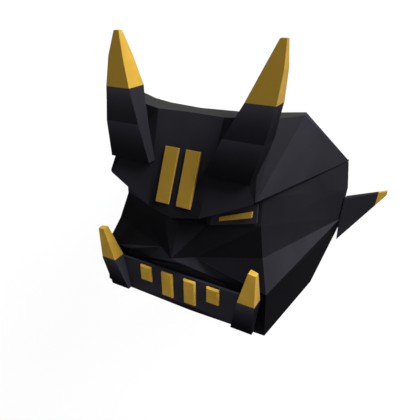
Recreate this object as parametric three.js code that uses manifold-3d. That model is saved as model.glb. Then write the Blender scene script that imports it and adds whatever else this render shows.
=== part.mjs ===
// Oni mask, lying on its back with the face up. Millimetres.
// X runs to the wearer's left, Y to the crown and Z out of the face. In every point the second number is the height
// above the foot of the jaw bar and the third is the depth in front of the back edges, which lie on the ground.
import * as THREE from "three";
import { ConvexGeometry } from "three/addons/geometries/ConvexGeometry.js";
import { mergeVertices } from "three/addons/utils/BufferGeometryUtils.js";
import Module from "manifold-3d";

const wasm = await Module();
wasm.setup();

const wall = 5; // thickness of both moulded shells
const seam = 0.3; // gap left where two pieces meet
const rimHeight = 177; // foot of the jaw bar to the top of the forehead
const chinDrop = 22; // how far the middle of the chin hangs below the jaw bar
const sideLevel = -1.5; // lower edge of the side panels
const backHalfWidth = 107.8; // half the width at the back of the cheeks
const noseDepth = 186;
const browDepth = 184; // lowest point of the brow, in the middle
const jawDepth = 175; // front of the jaw bar
const goldHeight = 34.5; // where the jaw blocks end and the tusks begin
const hornTipHeight = 236;
const eye = { innerX: 22, outerX: 69, innerDepth: 161.3, outerDepth: 153, plate: 2.2, bar: 2.6 };

const black = { color: 0x1b1b20, roughness: 0.42, metalness: 0.05 };
const gold = { color: 0xe6b345, roughness: 0.38, metalness: 0.55 };

// Half surfaces. A face lists its corners anticlockwise as seen from outside; the right half is the mirror image.
const brow = {
  points: {
    rimMid: [0, rimHeight, 147],
    rimCrease: [31, rimHeight, 149],
    rimBend: [57.5, rimHeight, 138],
    rimTemple: [70, rimHeight, 131],
    rimEnd: [84.5, rimHeight, 112],
    innerMid: [0, rimHeight, 130.3],
    innerCrease: [34, rimHeight, 125.6],
    innerBend: [56, rimHeight, 117.6],
    innerTemple: [70, rimHeight, 109],
    innerEnd: [82.3, rimHeight, 101.8],
    browMid: [0, 96.5, browDepth],
    browCrease: [25, 100, browDepth - 4.5],
    browCorner: [70.4, 120.9, browDepth - 11.4],
    backCorner: [backHalfWidth - 2.7, 105, 0],
  },
  front: [
    "rimMid browMid browCrease rimCrease",
    "rimCrease browCrease browCorner rimBend",
    "rimBend browCorner rimTemple",
    "rimTemple browCorner rimEnd",
    "rimEnd browCorner backCorner",
    "rimEnd backCorner innerEnd",
  ],
  rim: [
    "innerMid rimMid rimCrease innerCrease",
    "innerCrease rimCrease rimBend innerBend",
    "innerBend rimBend rimTemple innerTemple",
    "innerTemple rimTemple rimEnd innerEnd",
  ],
};

const face = {
  points: {
    ledgeMid: [0, 97, 181],
    ledgeInner: [24.5, 100.5, 177],
    ledgeOuter: [66.5, 122.5, 167.5],
    lidInner: [eye.innerX, 101, eye.innerDepth],
    lidOuter: [eye.outerX, 117, eye.outerDepth],
    bridge: [0, 83.5, 171],
    eyeInner: [eye.innerX, 84.5, eye.innerDepth],
    eyeOuter: [eye.outerX, 92, eye.outerDepth],
    nose: [0, 57, noseDepth],
    wing: [18, 57.7, 174.5],
    cheek: [75.2, 67, 161],
    jawTop: [84.8, 40.9, 173.4],
    jawInner: [64, 35.5, 163],
    jawEnd: [86.7, sideLevel, jawDepth],
    lipEnd: [39.6, 36, 167.7],
    mouthMid: [0, 34, 160],
    mouthEnd: [40, 27, 160],
    chinEnd: [62, -7.4, 169.9],
    chinMid: [0, -chinDrop, 157],
    backTop: [backHalfWidth - 3.7, 107, 0],
    backMiddle: [backHalfWidth, 75.5, 0],
    backLow: [backHalfWidth - 3, 36.4, 0],
    backFoot: [backHalfWidth - 3.7, 26.3, 0],
    kink: [98.8, sideLevel, 79.6],
  },
  front: [
    "ledgeMid bridge eyeInner",
    "ledgeMid eyeInner lidInner",
    "ledgeMid lidInner ledgeInner",
    "ledgeInner lidInner lidOuter ledgeOuter",
    "lidInner eyeInner eyeOuter lidOuter",
    "bridge nose eyeInner",
    "eyeInner nose wing",
    "eyeInner wing eyeOuter",
    "eyeOuter wing cheek",
    "wing jawInner jawTop cheek",
    "nose lipEnd wing",
    "wing lipEnd jawInner",
    "nose mouthMid lipEnd",
    "mouthMid mouthEnd lipEnd",
    "lipEnd mouthEnd jawInner",
    "mouthMid chinMid chinEnd mouthEnd",
    "mouthEnd chinEnd jawInner",
    "jawInner chinEnd jawEnd jawTop",
  ],
  side: [
    "lidOuter eyeOuter backMiddle backTop",
    "eyeOuter cheek backLow backMiddle",
    "cheek jawTop backLow",
    "jawTop jawEnd kink backFoot backLow",
  ],
};

function geometryOf(vertices, triangles) {
  const sixfoldVolume = triangles.reduce(
    (sum, [a, b, c]) => sum + vertices[a].dot(vertices[b].clone().cross(vertices[c])),
    0,
  );
  const facingOut = sixfoldVolume > 0 ? triangles : triangles.map(([a, b, c]) => [a, c, b]);
  const geometry = new THREE.BufferGeometry().setFromPoints(vertices);
  geometry.setIndex(facingOut.flat());
  return geometry;
}

function wholeSurface(points, faces) {
  const vertices = [];
  const left = {};
  const right = {};
  for (const [name, [x, height, depth]] of Object.entries(points)) {
    left[name] = vertices.push(new THREE.Vector3(x, height, depth)) - 1;
    right[name] = x > 0 ? vertices.push(new THREE.Vector3(-x, height, depth)) - 1 : left[name];
  }
  const triangles = [];
  for (const outline of faces) {
    const [a, ...others] = outline.split(" ");
    for (let i = 1; i < others.length; i++) {
      const [b, c] = [others[i - 1], others[i]];
      triangles.push([left[a], left[b], left[c]], [right[a], right[c], right[b]]);
    }
  }
  return { vertices, triangles };
}

// The step from a vertex that moves all the planes around it out by 1 mm. What lies on the ground or on the lower
// edge of the side panels stays there.
function mitre(vertex, normals) {
  const slack = 0.002; // keeps a nearly flat corner solvable
  const firm = 1000; // weight of a plane that the step may not leave
  const longest = 2;
  const sum = new THREE.Vector3();
  const m = [slack, 0, 0, 0, slack, 0, 0, 0, slack];
  const addPlane = (normal, weight) => {
    const n = normal.toArray();
    for (let row = 0; row < 3; row++)
      for (let column = 0; column < 3; column++) m[3 * row + column] += weight * n[row] * n[column];
  };
  for (const normal of normals) {
    addPlane(normal, 1);
    sum.add(normal);
  }
  if (vertex.y === sideLevel) addPlane(new THREE.Vector3(0, 1, 0), firm);
  if (vertex.z === 0) addPlane(new THREE.Vector3(0, 0, 1), firm);
  const step = sum.applyMatrix3(new THREE.Matrix3().set(...m).invert());
  if (vertex.y === sideLevel) step.y = 0;
  if (vertex.z === 0) step.z = 0;
  return step.clampLength(0, longest);
}

// A surface's triangles, its open edges, and its vertices moved out by a distance.
function offsets(points, faces) {
  const { vertices, triangles } = wholeSurface(points, faces);
  const normals = vertices.map(() => []);
  const edges = new Map();
  for (const triangle of triangles) {
    const [a, b, c] = triangle.map((i) => vertices[i]);
    const normal = new THREE.Triangle(a, b, c).getNormal(new THREE.Vector3());
    triangle.forEach((i, k) => {
      normals[i].push(normal);
      const next = triangle[(k + 1) % 3];
      if (!edges.delete(next + " " + i)) edges.set(i + " " + next, [i, next]);
    });
  }
  const steps = vertices.map((vertex, i) => mitre(vertex, normals[i]));
  const moved = (distance) => vertices.map((vertex, i) => vertex.clone().addScaledVector(steps[i], distance));
  return { triangles, edges: [...edges.values()], moved };
}

// The closed solid between a surface moved out and the same surface moved in.
function thicken(points, faces, outward, inward) {
  const { triangles, edges, moved } = offsets(points, faces);
  const outer = moved(outward);
  const inner = outer.length;
  const solid = [...triangles, ...triangles.map(([a, b, c]) => [a + inner, c + inner, b + inner])];
  for (const [a, b] of edges) {
    const [c, d] = [a + inner, b + inner];
    const towardsMiddle = Math.abs(outer[a].x) > Math.abs(outer[b].x);
    solid.push(...(towardsMiddle ? [[a, c, b], [b, c, d]] : [[a, c, d], [a, d, b]]));
  }
  return geometryOf([...outer, ...moved(-inward)], solid);
}

// The room that a thickened surface takes with a seam around it, as one convex block over each triangle.
function roomFor(points, faces, thickness) {
  const { triangles, moved } = offsets(points, faces);
  const layers = [moved(seam), moved(-thickness - seam)];
  const shifts = [[0, 0, 0], [0, -seam, 0], [0, 0, -seam], [0, -seam, -seam]];
  const cornersAt = (i) =>
    layers.flatMap((layer) => shifts.map((shift) => layer[i].clone().add(new THREE.Vector3(...shift))));
  const blocks = triangles.map((triangle) => manifoldOf(new ConvexGeometry(triangle.flatMap(cornersAt))));
  return blocks.reduce((room, block) => room.add(block));
}

// A solid through rings of equal length, closed by its first and last ring.
function loft(rings) {
  const count = rings[0].length;
  const triangles = [];
  for (let r = 0; r < rings.length - 1; r++)
    for (let i = 0; i < count; i++) {
      const a = r * count + i;
      const b = r * count + ((i + 1) % count);
      triangles.push([a, b, b + count], [a, b + count, a + count]);
    }
  const last = (rings.length - 1) * count;
  for (let i = 1; i < count - 1; i++) triangles.push([0, i + 1, i], [last, last + i, last + i + 1]);
  return geometryOf(rings.flat(), triangles);
}

// A ring across a horn or a jaw block. Behind its back face a narrower foot reaches into what carries it.
function footedRing({ height, inner, outer, front, backInner, backOuter, foot = 0, inset = 5 }) {
  const at = (x, depth) => new THREE.Vector3(x, height, depth);
  return [
    at(inner, front),
    at(outer, front),
    at(outer, backOuter),
    at(outer - inset, backOuter - foot),
    at(inner + inset, backInner - foot),
    at(inner, backInner),
  ];
}

// A flat plate or strip from its front corners, reaching back by a given step.
function slab(corners, step) {
  const front = corners.map((corner) => new THREE.Vector3(...corner));
  return loft([front, front.map((corner) => corner.clone().add(step))]);
}

function manifoldOf(geometry) {
  const merged = mergeVertices(geometry.clone().deleteAttribute("normal"), 1e-4);
  return new wasm.Manifold(
    new wasm.Mesh({
      numProp: 3,
      vertProperties: merged.getAttribute("position").array,
      triVerts: new Uint32Array(merged.index.array),
    }),
  );
}

function geometryFrom(manifold) {
  const { vertProperties, triVerts } = manifold.getMesh();
  const geometry = new THREE.BufferGeometry();
  geometry.setAttribute("position", new THREE.BufferAttribute(vertProperties, 3));
  geometry.setIndex(new THREE.BufferAttribute(triVerts, 1));
  return geometry;
}

function mirrored(geometry) {
  const copy = geometry.clone().scale(-1, 1, 1);
  const index = Array.from(copy.index.array);
  for (let i = 0; i < index.length; i += 3) [index[i + 1], index[i + 2]] = [index[i + 2], index[i + 1]];
  return copy.setIndex(index);
}

const mask = new THREE.Group();

function addPiece(name, geometry, finish) {
  const mesh = new THREE.Mesh(geometry, new THREE.MeshStandardMaterial(finish));
  mesh.name = name;
  mask.add(mesh);
}

function addPair(name, geometry, finish) {
  addPiece(name + "_left", geometry, finish);
  addPiece(name + "_right", mirrored(geometry), finish);
}

const browFaces = [...brow.front, ...brow.rim];

// A tongue that stands up from the side panel behind the brow plate, so that their joint can't be seen through.
function tongue() {
  const corners = ["lidOuter", "backMiddle", "backTop"].map((name) => new THREE.Vector3(...face.points[name]));
  const { normal, constant } = new THREE.Plane().setFromCoplanarPoints(...corners);
  const outwards = normal.clone().multiplyScalar(Math.sign(normal.x));
  const outline = [[106, 60], [113.5, 150], [124, 166], [130, 162], [113, 60]];
  const [front, back] = [0.8, wall - 0.3]; // below the panel's outside
  const sheet = (inset) =>
    outline.map(([height, depth]) => {
      const x = -(constant + normal.y * height + normal.z * depth) / normal.x;
      return new THREE.Vector3(x, height, depth).addScaledVector(outwards, -inset);
    });
  return manifoldOf(new ConvexGeometry([...sheet(front), ...sheet(back)]));
}

// The face shell runs up into the brow plate and is cut back to a seam behind and below it.
function faceShell() {
  const shell = manifoldOf(thicken(face.points, [...face.front, ...face.side], 0, wall));
  const tongues = tongue().add(tongue().mirror([1, 0, 0]));
  return geometryFrom(shell.add(tongues).subtract(roomFor(brow.points, browFaces, wall)));
}

// What sits on a shell is cut back to a seam above it.
const browBed = manifoldOf(thicken(brow.points, brow.front, seam, 14));
const faceBed = manifoldOf(thicken(face.points, face.front, seam, 10));
const seatedOn = (bed, geometry) => geometryFrom(manifoldOf(geometry).subtract(bed));

function horn() {
  const rings = [
    { height: 137, inner: 26, outer: 66, front: 173.5, backInner: 165, backOuter: 163, foot: 8 },
    { height: 166, inner: 39, outer: 73, front: 167.5, backInner: 153.5, backOuter: 147, foot: 9 },
    { height: rimHeight + 3, inner: 46, outer: 75, front: 163, backInner: 147, backOuter: 145 },
    { height: 193, inner: 52.6, outer: 77, front: 159, backInner: 138.5, backOuter: 142.5 },
    { height: 216.5, inner: 62.6, outer: 78, front: 151.5, backInner: 137.5, backOuter: 141, inset: 3 },
    { height: hornTipHeight, inner: 70.7, outer: 76, front: 144, backInner: 139.2, backOuter: 139.5, inset: 1 },
  ];
  return seatedOn(browBed, loft(rings.map(footedRing)));
}

function foreheadBar() {
  const [inner, outer] = [3.4, 16.8];
  const top = { height: 150.2, depth: 161.7 };
  const bottom = { height: 106.8, depth: 180.6 };
  const sunk = 6;
  const slope = new THREE.Vector2(bottom.depth - top.depth, top.height - bottom.height).normalize();
  const corners = [
    [inner, top.height, top.depth],
    [inner, bottom.height, bottom.depth],
    [outer, bottom.height, bottom.depth],
    [outer, top.height, top.depth],
  ];
  const inwards = new THREE.Vector3(0, -slope.x, -slope.y).multiplyScalar(sunk);
  return seatedOn(browBed, slab(corners, inwards));
}

// The eye's two plates lie on one upright plane that turns back towards the temple.
function eyeSlab(outline, from, to) {
  const slope = (eye.outerDepth - eye.innerDepth) / (eye.outerX - eye.innerX);
  const corners = outline.map(([x, height]) => [x, height, eye.innerDepth + (x - eye.innerX) * slope + to]);
  return slab(corners, new THREE.Vector3(0, 0, from - to));
}

const eyePlate = () => eyeSlab([[26, 86], [66, 94.7], [66.4, 113], [27.3, 98]], seam, eye.plate);
const eyeBar = () => {
  const outline = [[35, 92.6], [62.6, 100.5], [63, 106.2], [35.6, 97]];
  return eyeSlab(outline, eye.plate + seam, eye.plate + eye.bar);
};

function jawBlock() {
  const rings = [
    { height: 0, inner: 56.5, outer: 77, front: 181, backInner: 176.5, backOuter: 176, foot: 6 },
    { height: goldHeight, inner: 64.5, outer: 80.5, front: 187, backInner: 174, backOuter: 174, foot: 4 },
  ];
  return loft(rings.map(footedRing));
}

function jawBar() {
  const [halfLength, edge, back, fall] = [67, 1.2, 164.3, 8];
  const section = [
    [edge, jawDepth],
    [goldHeight - edge, jawDepth],
    [goldHeight, jawDepth - edge],
    [goldHeight - fall, back],
    [0, back],
    [0, jawDepth - edge],
  ];
  const ring = (x) => section.map(([height, depth]) => new THREE.Vector3(x, height, depth));
  const bar = manifoldOf(loft([ring(-halfLength), ring(halfLength)]));
  const block = jawBlock();
  return geometryFrom(bar.add(manifoldOf(block)).add(manifoldOf(mirrored(block))).subtract(faceBed));
}

function tusk() {
  const foot = goldHeight + seam;
  const rings = [
    [[64.5, foot, 187], [80.5, foot, 187], [80.5, foot, 174], [64.5, foot, 174]],
    [[73.5, 67.5, 187.5], [80.5, 66.5, 187], [80.5, 67, 182], [73.5, 68, 181]],
  ];
  return loft(rings.map((ring) => ring.map((corner) => new THREE.Vector3(...corner))));
}

function tooth(inner, outer, bottom) {
  const [top, proud] = [31.8, 3];
  const front = jawDepth + proud;
  const corners = [[inner, top, front], [inner, bottom, front], [outer, bottom, front], [outer, top, front]];
  return slab(corners, new THREE.Vector3(0, 0, seam - proud));
}

// A fin that thins towards its point.
function ear() {
  const front = [[106.9, 64, 5], [148, 81, 3.5], [148, 76.6, 3.5], [104.8, 11.4, 5], [104.5, 36.4, 5]];
  const back = [[107.7, 65.5, 0], [148, 81, 0], [148, 76.6, 0], [104.8, 10.6, 0], [105.3, 36.4, 0]];
  return loft([front, back].map((ring) => ring.map((corner) => new THREE.Vector3(...corner))));
}

addPiece("brow_plate", thicken(brow.points, browFaces, 0, wall), black);
addPiece("face_shell", faceShell(), black);
addPair("horn", horn(), black);
addPair("forehead_bar", foreheadBar(), gold);
addPair("eye_plate", eyePlate(), black);
addPair("eye_bar", eyeBar(), gold);
addPiece("jaw_bar", jawBar(), black);
addPair("tusk", tusk(), gold);
addPair("tooth_inner", tooth(6, 18.5, 5), gold);
addPair("tooth_outer", tooth(30, 42.5, 15), gold);
addPair("ear", ear(), black);

mask.position.y = (chinDrop - hornTipHeight) / 2;
export default mask;
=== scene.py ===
import math

import bmesh
import bpy
from mathutils import Matrix, Vector


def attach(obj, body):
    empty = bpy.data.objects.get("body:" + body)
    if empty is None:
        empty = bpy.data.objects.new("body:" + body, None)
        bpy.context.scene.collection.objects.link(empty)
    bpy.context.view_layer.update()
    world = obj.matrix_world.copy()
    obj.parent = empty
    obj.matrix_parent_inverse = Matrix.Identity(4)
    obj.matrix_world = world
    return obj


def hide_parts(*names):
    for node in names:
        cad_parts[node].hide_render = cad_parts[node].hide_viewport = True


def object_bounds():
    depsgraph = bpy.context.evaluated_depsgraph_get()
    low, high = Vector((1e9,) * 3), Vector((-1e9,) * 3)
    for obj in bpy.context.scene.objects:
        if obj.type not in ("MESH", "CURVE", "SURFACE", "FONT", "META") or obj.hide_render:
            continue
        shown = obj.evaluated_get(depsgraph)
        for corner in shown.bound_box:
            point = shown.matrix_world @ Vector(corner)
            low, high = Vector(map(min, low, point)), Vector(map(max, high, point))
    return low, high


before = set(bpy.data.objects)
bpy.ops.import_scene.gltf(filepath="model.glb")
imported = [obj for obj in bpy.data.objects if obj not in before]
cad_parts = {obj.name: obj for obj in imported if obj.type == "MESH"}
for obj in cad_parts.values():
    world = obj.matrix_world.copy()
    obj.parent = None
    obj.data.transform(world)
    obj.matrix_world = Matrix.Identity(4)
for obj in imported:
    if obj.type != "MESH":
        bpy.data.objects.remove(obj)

# An oni mask in satin black and gold, lying on its back.
# X runs to the wearer's left, Y to the crown, Z out of the face.
# Sizes below are in millimetres. Heights are counted from the foot of the jaw bar, depths from the floor.
millimetre = 0.001
hornTipHeight = 236.0
jawFront = 175.3  # a seam's width in front of the jaw bar
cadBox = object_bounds()
footLevel = cadBox[1].y - hornTipHeight * millimetre
print("frame loaded:", len(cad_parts), "nodes")


def heightOf(point):
    return (point.y - footLevel) / millimetre


def shareOf(value, low, high):  # 0 at low, 1 at high and level beyond them
    return min(max((value - low) / (high - low), 0), 1)


class Graph:
    # One material's node tree, emptied but for its output.
    def __init__(self, material):
        self.tree = material.node_tree
        self.tree.nodes.clear()
        self.output = self.tree.nodes.new("ShaderNodeOutputMaterial")

    def node(self, kind, settings=None, inputs=None, output=0):
        made = self.tree.nodes.new(kind)
        for name, value in (settings or {}).items():
            setattr(made, name, value)
        for name, value in (inputs or {}).items():
            if isinstance(value, Signal):
                self.tree.links.new(value.socket, made.inputs[name])
            else:
                made.inputs[name].default_value = value
        return Signal(self, made.outputs[output])

    def mix(self, factor, a, b):
        return self.node("ShaderNodeMix", {"data_type": "RGBA"}, {0: factor, 6: a, 7: b}, 2)

    def noise(self, place, scale, detail):
        return self.node("ShaderNodeTexNoise", inputs={"Vector": place, "Scale": scale, "Detail": detail})

    def attribute(self, name):
        return self.node("ShaderNodeAttribute", {"attribute_name": name}, output=2)

    def bump(self, height, strength, distance):
        inputs = {"Height": height, "Strength": strength, "Distance": distance}
        return self.node("ShaderNodeBump", inputs=inputs)

    def finish(self, shader):
        self.tree.links.new(shader.socket, self.output.inputs["Surface"])


class Signal:
    # A socket that adds its Math nodes when it is used in an expression.
    def __init__(self, graph, socket):
        self.graph, self.socket = graph, socket

    def math(self, operation, other):
        return self.graph.node("ShaderNodeMath", {"operation": operation}, {0: self, 1: other})

    def __add__(self, other):
        return self.math("ADD", other)

    __radd__ = __add__

    def __mul__(self, other):
        return self.math("MULTIPLY", other)

    def eased(self, low, high):  # 0 at low, 1 at high
        settings = {"interpolation_type": "SMOOTHSTEP"}
        return self.graph.node("ShaderNodeMapRange", settings, {"Value": self, 1: low, 2: high})


def newMaterial(name):
    material = bpy.data.materials.new(name)
    material.use_nodes = True
    return material, Graph(material)


# In each paint a noise has its scale per metre and its detail, a bump its strength and its height.
# Cloudiness is how much the painted light and shade vary at random from place to place.
blackCoat = {
    "deep": (0.0013, 0.0013, 0.0017, 1),
    "litGrey": (0.0300, 0.0300, 0.0375, 1),  # the grey of full painted light, standing for lit faces, at 1
    "cloudiness": 0.6,
    "wornGlintColor": (0.035, 0.035, 0.042, 1),
    "wearGlintShare": 0.2,
    "roughness": 0.5,
    "shine": 0.0,
    "varnish": 0.03,
    "varnishRoughness": 0.3,
    "unevenness": 0.08,
    "cloudNoise": (24.0, 3.0),
    "wearGlintNoise": (160.0, 4.0),
    "wearGlintRange": (0.4, 0.7),
    "grainNoise": (1400.0, 2.0),
    "grainBump": (0.08, 0.2 * millimetre),
}


def blackPaint(name):
    material, graph = newMaterial(name)
    place = graph.node("ShaderNodeTexCoord", output=3)
    cloud = graph.noise(place, *blackCoat["cloudNoise"])
    grain = graph.noise(place, *blackCoat["grainNoise"])
    cloudiness = blackCoat["cloudiness"]
    # A face's painted light mixes deep black towards a lighter grey, standing for the light and shade on it;
    # the cloud varies it at random.
    paintedLight = graph.attribute("paintedLight") * (1 - cloudiness / 2 + cloud * cloudiness)
    paintedLightColor = graph.mix(paintedLight, blackCoat["deep"], blackCoat["litGrey"])
    # Edges are lighter in patches, from worn paint and a painted glint where edges catch light.
    patches = graph.noise(place, *blackCoat["wearGlintNoise"]).eased(*blackCoat["wearGlintRange"])
    wearAndGlint = graph.attribute("wearAndGlint") * patches * blackCoat["wearGlintShare"]
    color = graph.mix(wearAndGlint, paintedLightColor, blackCoat["wornGlintColor"])
    bump = graph.bump(grain, *blackCoat["grainBump"])
    shader = graph.node(
        "ShaderNodeBsdfPrincipled",
        inputs={
            "Base Color": color,
            "Roughness": blackCoat["roughness"] + cloud * blackCoat["unevenness"],
            "Specular IOR Level": blackCoat["shine"],
            "Coat Weight": blackCoat["varnish"],
            "Coat Roughness": blackCoat["varnishRoughness"],
            "Normal": bump,
        },
    )
    graph.finish(shader)
    return material


lining = {
    "color": (0.0042, 0.0042, 0.0050, 1),
    "dust": (0.012, 0.012, 0.013, 1),
    "roughness": 0.82,
    "unevenness": 0.1,
    "shine": 0.2,
    "blotchNoise": (38.0, 5.0),
    "blotchRange": (0.4, 0.8),
    "weaveNoise": (700.0, 3.0),
    "weaveBump": (0.3, 0.3 * millimetre),
}


def liningPaint(name):
    material, graph = newMaterial(name)
    place = graph.node("ShaderNodeTexCoord", output=3)
    blotch = graph.noise(place, *lining["blotchNoise"]).eased(*lining["blotchRange"])
    weave = graph.noise(place, *lining["weaveNoise"])
    color = graph.mix(blotch, lining["color"], lining["dust"])
    bump = graph.bump(weave, *lining["weaveBump"])
    shader = graph.node(
        "ShaderNodeBsdfPrincipled",
        inputs={
            "Base Color": color,
            "Roughness": lining["roughness"] + blotch * lining["unevenness"],
            "Specular IOR Level": lining["shine"],
            "Normal": bump,
        },
    )
    graph.finish(shader)
    return material


goldCoat = {
    "deep": (0.128, 0.078, 0.0105, 1),
    "litGold": (0.440, 0.262, 0.0335, 1),  # the lit gold, at painted light 1
    "cloudiness": 0.4,
    "wornGlintColor": (0.46, 0.29, 0.05, 1),
    "wearGlintShare": 0.15,
    "roughness": 0.45,
    "unevenness": 0.1,
    "shine": 0.01,
    "metal": 0.2,
    "cloudNoise": (45.0, 3.0),
    "cloudRange": (0.3, 0.75),
    "flakeNoise": (2200.0, 1.0),
    "flakeBump": (0.1, 0.2 * millimetre),
}


def goldPaint(name):
    material, graph = newMaterial(name)
    place = graph.node("ShaderNodeTexCoord", output=3)
    cloud = graph.noise(place, *goldCoat["cloudNoise"])
    flake = graph.noise(place, *goldCoat["flakeNoise"])
    cloudiness = goldCoat["cloudiness"]
    cloudShare = cloud.eased(*goldCoat["cloudRange"])
    # A face's painted light mixes a shaded gold towards the lit gold, standing for the light and shade on it.
    paintedLight = graph.attribute("paintedLight") * (1 - cloudiness / 2 + cloudShare * cloudiness)
    paintedLightColor = graph.mix(paintedLight, goldCoat["deep"], goldCoat["litGold"])
    # Gold edges are lighter from wear and a painted glint where they catch light.
    color = graph.mix(graph.attribute("wearAndGlint") * goldCoat["wearGlintShare"], paintedLightColor, goldCoat["wornGlintColor"])
    bump = graph.bump(flake, *goldCoat["flakeBump"])
    shader = graph.node(
        "ShaderNodeBsdfPrincipled",
        inputs={
            "Base Color": color,
            "Roughness": goldCoat["roughness"] + cloud * goldCoat["unevenness"],
            "Metallic": goldCoat["metal"],
            "Specular IOR Level": goldCoat["shine"],
            "Normal": bump,
        },
    )
    graph.finish(shader)
    return material


satinBlack = blackPaint("satinBlackPaint")
satinGold = goldPaint("satinGoldPaint")
matteLining = liningPaint("matteBlackLining")
print("materials made")


# Lengths in millimetres, angles in degrees.
# A side's normal points sideways by more than sideFrom, a slope's upwards or outwards by more than slopeFrom.
meshing = {"weld": 0.02, "flatTo": 0.4, "cutWeld": 0.01, "creaseFrom": 25.0}
blockSharpFrom = 8.0
sideFrom = 0.7
slopeFrom = 0.3


def mergedCopy(nodeName):
    mesh = bmesh.new()
    mesh.from_mesh(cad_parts[nodeName].data)
    bmesh.ops.remove_doubles(mesh, verts=mesh.verts, dist=meshing["weld"] * millimetre)
    flatTo = math.radians(meshing["flatTo"])
    bmesh.ops.dissolve_limit(mesh, angle_limit=flatTo, verts=mesh.verts, edges=mesh.edges)
    return mesh


def splitAt(mesh, point, normal):
    everything = mesh.verts[:] + mesh.edges[:] + mesh.faces[:]
    weld = meshing["cutWeld"] * millimetre
    bmesh.ops.bisect_plane(mesh, geom=everything, plane_co=point, plane_no=normal, dist=weld)
    mesh.normal_update()


def splitAtHeights(mesh, heights):
    for height in heights:
        splitAt(mesh, (0, footLevel + height * millimetre, 0), (0, 1, 0))


def roundEdges(mesh, width, sharpFrom, isChosen=lambda edge: True, wearGlintAmount=1.0):
    # Breaks the chosen edges that stand out by more than sharpFrom degrees.
    # It notes the wear and painted glint on the new faces and gives them.
    wearAndGlint = mesh.loops.layers.float.get("wearAndGlint") or mesh.loops.layers.float.new("wearAndGlint")
    sharp = [
        edge
        for edge in mesh.edges
        if edge.is_convex and edge.calc_face_angle() > math.radians(sharpFrom) and isChosen(edge)
    ]
    result = bmesh.ops.bevel(
        mesh,
        geom=sharp,
        offset=width * millimetre,
        segments=2,
        profile=0.5,
        affect="EDGES",
        clamp_overlap=True,
        material=-1,
    )
    for face in result["faces"]:
        for loop in face.loops:
            loop[wearAndGlint] = wearGlintAmount
    return result["faces"]


# Writes the painted light and shade of each face corner.
def paintLightOnFaces(mesh, paintedLightAt):
    paintedLight = mesh.loops.layers.float.new("paintedLight")
    for face in mesh.faces:
        for loop in face.loops:
            loop[paintedLight] = paintedLightAt(face, loop.vert.co)


def millimetres(point):  # the same on both halves of the mask
    return abs(point.x) / millimetre, heightOf(point), point.z / millimetre


def finishPiece(mesh, name, nodes, slot, materials):
    data = bpy.data.meshes.new(name)
    mesh.to_mesh(data)
    mesh.free()
    data.shade_smooth()
    data.set_sharp_from_angle(angle=math.radians(meshing["creaseFrom"]))
    for material in materials:
        data.materials.append(material)
    piece = bpy.data.objects.new(name, data)
    bpy.context.scene.collection.objects.link(piece)
    weighted = piece.modifiers.new("flatFaces", "WEIGHTED_NORMAL")
    weighted.keep_sharp = True
    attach(piece, "root")
    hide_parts(*nodes)


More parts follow.
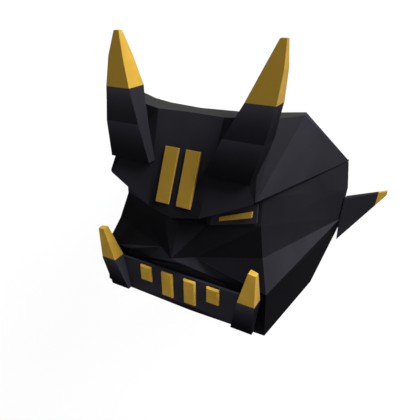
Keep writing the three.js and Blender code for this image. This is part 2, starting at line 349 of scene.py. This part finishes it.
# Painted light and shade of the facets, from deep black at 0 to a lighter grey at 1: facets that face the
# light are painted lighter and shaded ones darker, and the deep shade under the lip and behind the jaw bar is
# painted lighter. Each facet has a rough place on it, to 5 mm, and a face takes the painted light of the
# nearest place. From there a facet may fade to another painted light at the back edge, or to another within
# the fall below its place; these fades paint shading gradients across the facet.
shells = {
    "edge": 0.4,
    "sharpFrom": 5.0,
    "seam": 1.4,
    "seamSideFrom": 0.9,
    "seamUnderFrom": 0.6,
    "fall": 25.0,
    "liningCentre": 60.0,
    "face_shell": [
        {"facet": "side panel", "at": (95, 70, 50), "paintedLight": 0.16},
        {"facet": "side panel front", "at": (80, 95, 100), "paintedLight": 0.14, "back": 0.22},
        {"facet": "side panel top", "at": (90, 105, 60), "paintedLight": 0.18},
        {"facet": "side panel low", "at": (85, 65, 105), "paintedLight": 0.13},
        {"facet": "bright triangle", "at": (90, 50, 110), "paintedLight": 0.29, "back": 0.52},
        {"facet": "lower panel", "at": (95, 20, 85), "paintedLight": 0.0},
        {"facet": "lower panel back", "at": (100, 35, 60), "paintedLight": 0.03},
        {"facet": "lower panel front", "at": (90, 15, 145), "paintedLight": 0.0},
        {"facet": "eye recess", "at": (45, 100, 155), "paintedLight": 0.2},
        {"facet": "ledge", "at": (35, 105, 165), "paintedLight": 0.02},
        {"facet": "ledge end", "at": (55, 115, 165), "paintedLight": 0.02},
        {"facet": "tongue behind the brow", "at": (70, 120, 140), "paintedLight": 0.0},
        {"facet": "bridge side", "at": (10, 95, 170), "paintedLight": 0.06},
        {"facet": "bridge", "at": (5, 90, 170), "paintedLight": 0.08},
        {"facet": "nose", "at": (5, 75, 175), "paintedLight": 0.15},
        {"facet": "nose side", "at": (15, 65, 175), "paintedLight": 0.06},
        {"facet": "cheek top", "at": (35, 80, 165), "paintedLight": 0.075},
        {"facet": "cheek", "at": (55, 70, 165), "paintedLight": 0.03},
        {"facet": "front cheek", "at": (60, 55, 170), "paintedLight": 0.1},
        {"facet": "lip", "at": (20, 50, 175), "paintedLight": 0.38},
        {"facet": "lip side", "at": (40, 40, 165), "paintedLight": 0.3},
        {"facet": "under the lip", "at": (15, 45, 170), "paintedLight": 0.9},
        {"facet": "under the cheek", "at": (55, 45, 170), "paintedLight": 0.7},
        {"facet": "chin", "at": (20, 0, 160), "paintedLight": 0.9, "low": 0.0},
        {"facet": "chin side", "at": (70, 10, 170), "paintedLight": 0.3, "low": 0.0},
        {"facet": "jaw corner", "at": (80, 25, 170), "paintedLight": 0.1},
    ],
    "brow_plate": [
        {"facet": "brow side", "at": (85, 135, 95), "paintedLight": 0.4, "back": 0.34, "low": 0.29},
        {"facet": "forehead middle", "at": (10, 125, 170), "paintedLight": 0.33, "low": 0.08},
        {"facet": "forehead top", "at": (20, 150, 160), "paintedLight": 0.33, "low": 0.08},
        {"facet": "forehead side", "at": (40, 145, 165), "paintedLight": 0.08, "low": 0.22},
        {"facet": "temple front", "at": (55, 160, 155), "paintedLight": 0.12, "low": 0.0},
        {"facet": "temple", "at": (65, 160, 145), "paintedLight": 0.17, "low": 0.19},
        {"facet": "temple corner", "at": (75, 160, 140), "paintedLight": 0.22, "low": 0.19},
        {"facet": "rim", "at": (40, 175, 135), "paintedLight": 0.03},
        {"facet": "underside", "at": (40, 105, 175), "paintedLight": 0.0},
    ],
}


def facesInward(face):  # looks at the wearer's head
    middle = face.calc_center_median()
    centre = Vector((0, middle.y, shells["liningCentre"] * millimetre))
    return face.normal.dot(middle - centre) < 0


def isSeamEdge(edge):  # the brow plate's lower edge, above the side panels
    isBelowSide = any(abs(face.normal.x) > shells["seamSideFrom"] for face in edge.link_faces)
    return isBelowSide and any(face.normal.y < -shells["seamUnderFrom"] for face in edge.link_faces)


def makeShell(nodeName, pieceName):
    mesh = mergedCopy(nodeName)
    facet = mesh.faces.layers.int.new("facet")
    facets = shells[nodeName]
    for face in mesh.faces:
        face.material_index = 1 if facesInward(face) else 0
        middle = Vector(millimetres(face.calc_center_median()))
        distances = [(middle - Vector(entry["at"])).length for entry in facets]
        face[facet] = distances.index(min(distances))
    # The seam bevel under the brow plate takes the underside's painted shade, deep black, and no wear or
    # glint, so it shows as a dark line.
    if nodeName == "brow_plate":
        underside = len(facets) - 1
        for face in roundEdges(mesh, shells["seam"], shells["sharpFrom"], isSeamEdge, wearGlintAmount=0.0):
            face[facet] = underside
    roundEdges(mesh, shells["edge"], shells["sharpFrom"])

    def paintedLightAt(face, point):
        entry = facets[face[facet]]
        _, top, front = entry["at"]
        paintedLight = entry["paintedLight"]
        towardsBack = 1 - shareOf(point.z / millimetre, 0, front)
        downwards = 1 - shareOf(heightOf(point), top - shells["fall"], top)
        change = (entry.get("back", paintedLight) - paintedLight) * towardsBack
        return paintedLight + change + (entry.get("low", paintedLight) - paintedLight) * downwards

    paintLightOnFaces(mesh, paintedLightAt)
    finishPiece(mesh, pieceName, [nodeName], "black", [satinBlack, matteLining])


makeShell("face_shell", "faceShell")
makeShell("brow_plate", "browPlate")
print("shells made")

# Each horn is gold above two black bands. A band has the painted light of its upper and its lower end, a
# painted shade that changes along its height.
horns = {
    "edge": 0.5,
    "sharpFrom": 5.0,
    "cuts": (141.0, 147.0, 156.0, 175.0, 184.0),  # heights that a band's tone is set at, besides its ends
    "goldFrom": 192.8,
    "crease": 166.0,
    "foot": 137.0,
    # Fronts, outer and inner sides get their own painted light, as each faces the light differently; the gold
    # front is painted darkest and the gold inner side lightest.
    "upper": (0.46, 0.08),
    "lower": (0.32, 0.02),
    "outerUpper": (0.26, 0.06),
    "outerLower": (0.14, 0.05),
    "innerSide": (0.33, 0.21),
    "goldFront": 0.03,
    "goldInner": 0.48,
    "goldOuter": 0.22,
}


def makeHorn(side):
    mesh = mergedCopy("horn_" + side)
    splitAtHeights(mesh, (horns["goldFrom"], *horns["cuts"]))
    for face in mesh.faces:
        face.material_index = 1 if heightOf(face.calc_center_median()) > horns["goldFrom"] else 0
    roundEdges(mesh, horns["edge"], horns["sharpFrom"])

    outwards = 1 if side == "left" else -1

    def paintedLightAt(face, point):
        sideways = face.normal.x * outwards
        isOuter = sideways > sideFrom
        isInner = sideways < -sideFrom
        if face.material_index == 1:
            return horns["goldOuter" if isOuter else "goldInner" if isInner else "goldFront"]
        if isInner:
            start, end, (high, low) = horns["goldFrom"], horns["foot"], horns["innerSide"]
        elif heightOf(face.calc_center_median()) > horns["crease"]:
            start, end = horns["goldFrom"], horns["crease"]
            high, low = horns["outerUpper" if isOuter else "upper"]
        else:
            start, end = horns["crease"], horns["foot"]
            high, low = horns["outerLower" if isOuter else "lower"]
        return low + (high - low) * shareOf(heightOf(point), end, start) ** 2

    paintLightOnFaces(mesh, paintedLightAt)
    finishPiece(mesh, side + "Horn", ["horn_" + side], "black", [satinBlack, satinGold])


# The gold point starts at a line that leans outwards to its top.
ears = {
    "edge": 0.3,
    "sharpFrom": 10.0,
    "goldFrom": 139.6,
    "lineHeight": 76.0,
    "lean": 0.055,
    # The fin's black and its gold point are painted lighter, to stand for the light falling on them.
    "paintedLight": 0.52,
    "gold": 0.95,
}


def makeEar(side):
    mesh = mergedCopy("ear_" + side)
    sign = 1 if side == "left" else -1
    point = Vector((sign * ears["goldFrom"] * millimetre, footLevel + ears["lineHeight"] * millimetre, 0))
    normal = Vector((sign, -ears["lean"], 0)).normalized()
    splitAt(mesh, point, normal)
    for face in mesh.faces:
        face.material_index = 1 if (face.calc_center_median() - point).dot(normal) > 0 else 0
    roundEdges(mesh, ears["edge"], ears["sharpFrom"])
    paintLightOnFaces(mesh, lambda face, place: ears["gold"] if face.material_index == 1 else ears["paintedLight"])
    finishPiece(mesh, side + "Ear", ["ear_" + side], "black", [satinBlack, satinGold])


for side in ("left", "right"):
    makeHorn(side)
    makeEar(side)
print("horns and ears made")

# A bar's front and its sides have their own painted light and shade, set for how the light falls on each.
bars = {
    "forehead_bar": {"name": "ForeheadBar", "edge": 0.4, "slot": "gold", "paintedLight": 0.08, "side": 0.0},
    "eye_plate": {"name": "EyePlate", "edge": 0.4, "slot": "black", "paintedLight": 0.42, "side": 0.42},
    "eye_bar": {"name": "EyeBar", "edge": 0.5, "slot": "gold", "paintedLight": 0.28, "side": 0.28},
    "tusk": {"name": "Tusk", "edge": 0.6, "slot": "gold", "paintedLight": 0.68, "side": 0.41},
}


def makeBar(nodeName, side):
    bar = bars[nodeName]
    mesh = mergedCopy(nodeName + "_" + side)
    roundEdges(mesh, bar["edge"], blockSharpFrom)
    paintLightOnFaces(mesh, lambda face, place: bar["side" if abs(face.normal.x) > sideFrom else "paintedLight"])
    material = satinGold if bar["slot"] == "gold" else satinBlack
    finishPiece(mesh, side + bar["name"], [nodeName + "_" + side], bar["slot"], [material])


for nodeName in bars:
    for side in ("left", "right"):
        makeBar(nodeName, side)
print("bars, eyes and tusks made")

# A block stands at each end of the jaw bar, from blockFrom outwards. It has the painted light of its two
# ends, lighter at its top and darker towards its foot.
jaw = {
    "edge": 0.35,
    "sharpFrom": 6.0,
    "cuts": (8.0, 20.0, 28.0),
    "blockTop": 34.5,
    # The bar's faces get painted light by how they face: faces turned up are painted lighter, the underside
    # darker, and a block's inner side lighter than its outer.
    "bar": 0.56,
    "lip": 0.55,
    "underside": 0.04,
    "block": (0.95, 0.04),
    "blockInner": 0.5,
    "blockOuter": 0.09,
    "blockFrom": 56.4,
    "blockSideFrom": 0.5,
}


def makeJawBar():
    mesh = mergedCopy("jaw_bar")
    splitAtHeights(mesh, jaw["cuts"])
    roundEdges(mesh, jaw["edge"], jaw["sharpFrom"])

    def paintedLightAt(face, point):
        sideways, _, depth = millimetres(face.calc_center_median())
        if sideways > jaw["blockFrom"] and depth > jawFront:
            if abs(face.normal.x) > jaw["blockSideFrom"]:
                return jaw["blockOuter" if face.normal.x * point.x > 0 else "blockInner"]
            high, low = jaw["block"]
            return low + (high - low) * (heightOf(point) / jaw["blockTop"]) ** 2
        if face.normal.z > slopeFrom:
            return jaw["lip"] if face.normal.y > slopeFrom else jaw["bar"]
        return jaw["underside"]

    paintLightOnFaces(mesh, paintedLightAt)
    finishPiece(mesh, "jawBar", ["jaw_bar"], "black", [satinBlack])


makeJawBar()

# Teeth: blocks with sloping shoulders, one tree for both pairs.
teeth = {
    "inner": {"Inner": 6.0, "Outer": 18.5, "Bottom": 5.0, "Top": 31.8},
    "outer": {"Inner": 30.0, "Outer": 42.5, "Bottom": 15.0, "Top": 31.8},
    "back": jawFront,
    "front": 178.0,
    "shoulder": 1.2,
    "draw": 0.8,  # how far the shoulder draws in, for each millimetre that it rises
    "edge": 0.25,
    # The teeth's fronts and their upward shoulders have their own painted light; the shoulders, facing the
    # light, are painted lighter.
    "paintedLight": 0.67,
    "shoulderPaintedLight": 0.9,
}


def toothTree():
    tree = bpy.data.node_groups.new("toothPair", "GeometryNodeTree")
    names = ("Inner", "Outer", "Bottom", "Top", "Back", "Front", "Shoulder")
    for name in names:
        tree.interface.new_socket(name, in_out="INPUT", socket_type="NodeSocketFloat")
    tree.interface.new_socket("Finish", in_out="INPUT", socket_type="NodeSocketMaterial")
    tree.interface.new_socket("Geometry", in_out="OUTPUT", socket_type="NodeSocketGeometry")

    def node(kind, settings=None, inputs=None):
        made = tree.nodes.new(kind)
        for key, value in (settings or {}).items():
            setattr(made, key, value)
        for key, value in (inputs or {}).items():
            if isinstance(value, bpy.types.NodeSocket):
                tree.links.new(value, made.inputs[key])
            else:
                made.inputs[key].default_value = value
        return made

    def maths(operation, a, b):
        return node("ShaderNodeMath", {"operation": operation}, {0: a, 1: b}).outputs[0]

    given = node("NodeGroupInput").outputs

    def middle(a, b):
        return maths("MULTIPLY", maths("ADD", a, b), 0.5)

    step = given["Shoulder"]
    size = node(
        "ShaderNodeCombineXYZ",
        inputs={
            0: maths("SUBTRACT", given["Outer"], given["Inner"]),
            1: maths("SUBTRACT", given["Top"], given["Bottom"]),
            2: maths("SUBTRACT", maths("SUBTRACT", given["Front"], given["Back"]), step),
        },
    ).outputs[0]
    centre = node(
        "ShaderNodeCombineXYZ",
        inputs={
            0: middle(given["Inner"], given["Outer"]),
            1: middle(given["Bottom"], given["Top"]),
            2: middle(given["Back"], maths("SUBTRACT", given["Front"], step)),
        },
    ).outputs[0]
    block = node("GeometryNodeMeshCube", inputs={"Size": size}).outputs[0]
    depth = node("ShaderNodeSeparateXYZ", inputs={0: node("GeometryNodeInputNormal").outputs[0]}).outputs[2]
    isGreater = {"data_type": "FLOAT", "operation": "GREATER_THAN"}
    front = node("FunctionNodeCompare", isGreater, {0: depth, 1: 0.5})
    raised = node(
        "GeometryNodeExtrudeMesh",
        inputs={"Mesh": block, "Selection": front.outputs[0], "Offset Scale": step, "Individual": False},
    )
    place = node("GeometryNodeInputPosition").outputs[0]
    corner = node("ShaderNodeVectorMath", {"operation": "SIGN"}, {0: place}).outputs[0]
    draw = maths("MULTIPLY", step, -teeth["draw"])
    pull = node("ShaderNodeCombineXYZ", inputs={0: draw, 1: draw}).outputs[0]
    inset = node("ShaderNodeVectorMath", {"operation": "MULTIPLY"}, {0: corner, 1: pull}).outputs[0]
    shouldered = node(
        "GeometryNodeSetPosition",
        inputs={"Geometry": raised.outputs["Mesh"], "Selection": raised.outputs["Top"], "Offset": inset},
    ).outputs[0]
    placed = node("GeometryNodeTransform", inputs={"Geometry": shouldered, "Translation": centre}).outputs[0]
    other = node("GeometryNodeTransform", inputs={"Geometry": placed, "Scale": (-1, 1, 1)}).outputs[0]
    other = node("GeometryNodeFlipFaces", inputs={"Mesh": other}).outputs[0]
    both = node("GeometryNodeJoinGeometry")
    tree.links.new(placed, both.inputs[0])
    tree.links.new(other, both.inputs[0])
    real = node("GeometryNodeRealizeInstances", inputs={"Geometry": both.outputs[0]}).outputs[0]
    done = node("GeometryNodeSetMaterial", inputs={"Geometry": real, "Material": given["Finish"]}).outputs[0]
    node("NodeGroupOutput", inputs={0: done})
    return tree


def makeTeeth(tree, pair):
    settings = dict(teeth[pair], Back=teeth["back"], Front=teeth["front"], Shoulder=teeth["shoulder"])
    blank = bpy.data.objects.new(pair + "Blank", bpy.data.meshes.new(pair + "Blank"))
    bpy.context.scene.collection.objects.link(blank)
    modifier = blank.modifiers.new("teeth", "NODES")
    modifier.node_group = tree
    for item in tree.interface.items_tree:
        if item.name in settings:
            modifier[item.identifier] = settings[item.name] * millimetre
        elif item.name == "Finish":
            modifier[item.identifier] = satinGold
    evaluated = blank.evaluated_get(bpy.context.evaluated_depsgraph_get())
    result = bpy.data.meshes.new_from_object(evaluated)
    bpy.data.objects.remove(blank)
    mesh = bmesh.new()
    mesh.from_mesh(result)
    mesh.transform(Matrix.Translation((0, footLevel, 0)))
    roundEdges(mesh, teeth["edge"], blockSharpFrom)
    paintLightOnFaces(mesh, lambda face, place: teeth["shoulderPaintedLight" if face.normal.y > slopeFrom else "paintedLight"])
    nodes = ["tooth_" + pair + "_left", "tooth_" + pair + "_right"]
    finishPiece(mesh, pair + "Teeth", nodes, "gold", [satinGold])


pairTree = toothTree()
makeTeeth(pairTree, "inner")
makeTeeth(pairTree, "outer")
print("jaw bar and teeth made")

# The view of the photograph, turned with the mask from standing to lying. The place is in metres.
camera = {"turn": 28.78, "rise": 27.14, "place": (0.17893, 0.1565, 0.44081), "lens": 36.30, "sensor": 36.0}


def addCamera():
    turn, rise = math.radians(camera["turn"]), math.radians(camera["rise"])
    back = Vector((math.sin(turn) * math.cos(rise), math.sin(rise), math.cos(turn) * math.cos(rise)))
    right = Vector((math.cos(turn), 0, -math.sin(turn)))
    up = back.cross(right)
    data = bpy.data.cameras.new("camera")
    data.lens = camera["lens"]
    data.sensor_width = camera["sensor"]
    made = bpy.data.objects.new("camera", data)
    made.matrix_world = Matrix.Translation(camera["place"]) @ Matrix((right, up, back)).transposed().to_4x4()
    bpy.context.scene.collection.objects.link(made)
    bpy.context.scene.camera = made


stage = {
    "floorSize": 8.0,
    "floorGlow": 0.82,
    "floorColor": (0.25, 0.25, 0.25, 1),
    "skyColor": (0.92, 0.95, 1.0, 1),
    "skyStrength": 0.28,
}


def addFloor():
    mesh = bmesh.new()
    bmesh.ops.create_grid(mesh, x_segments=1, y_segments=1, size=stage["floorSize"] / 2)
    data = bpy.data.meshes.new("floor")
    mesh.to_mesh(data)
    mesh.free()
    floor = bpy.data.objects.new("floor", data)
    bpy.context.scene.collection.objects.link(floor)
    material, graph = newMaterial("paleFloor")
    shader = graph.node(
        "ShaderNodeBsdfPrincipled",
        inputs={
            "Base Color": stage["floorColor"],
            "Roughness": 0.9,
            "Specular IOR Level": 0.1,
            "Emission Color": (1, 1, 1, 1),
            "Emission Strength": stage["floorGlow"],
        },
    )
    graph.finish(shader)
    data.materials.append(material)


# Distances and sizes in metres, powers in watts.
lights = [
    {"name": "sideLight", "from": (0.7, 0.75, 0.05), "distance": 1.8, "size": 1.0, "power": 125.0},
    {"name": "overheadLight", "from": (-0.2, -0.6, 1.0), "distance": 2.4, "size": 2.0, "power": 8.0},
    {"name": "frontLight", "from": (0.35, 0.5, 0.78), "distance": 2.4, "size": 1.0, "power": 10.0},
    {"name": "fillLight", "from": (-0.9, 0.1, 0.6), "distance": 2.4, "size": 2.0, "power": 12.0},
]


def addLights():
    aim = (cadBox[0] + cadBox[1]) / 2
    for light in lights:
        data = bpy.data.lights.new(light["name"], "AREA")
        data.shape = "DISK"
        data.size = light["size"]
        data.energy = light["power"]
        direction = Vector(light["from"]).normalized()
        lamp = bpy.data.objects.new(light["name"], data)
        lamp.location = aim + direction * light["distance"]
        lamp.rotation_euler = direction.to_track_quat("Z", "Y").to_euler()
        bpy.context.scene.collection.objects.link(lamp)
    world = bpy.data.worlds.new("studio")
    world.use_nodes = True
    background = world.node_tree.nodes["Background"]
    background.inputs["Color"].default_value = stage["skyColor"]
    background.inputs["Strength"].default_value = stage["skyStrength"]
    bpy.context.scene.world = world


addCamera()
addFloor()
addLights()
bpy.context.scene.view_settings.view_transform = "Standard"
print("stage set")
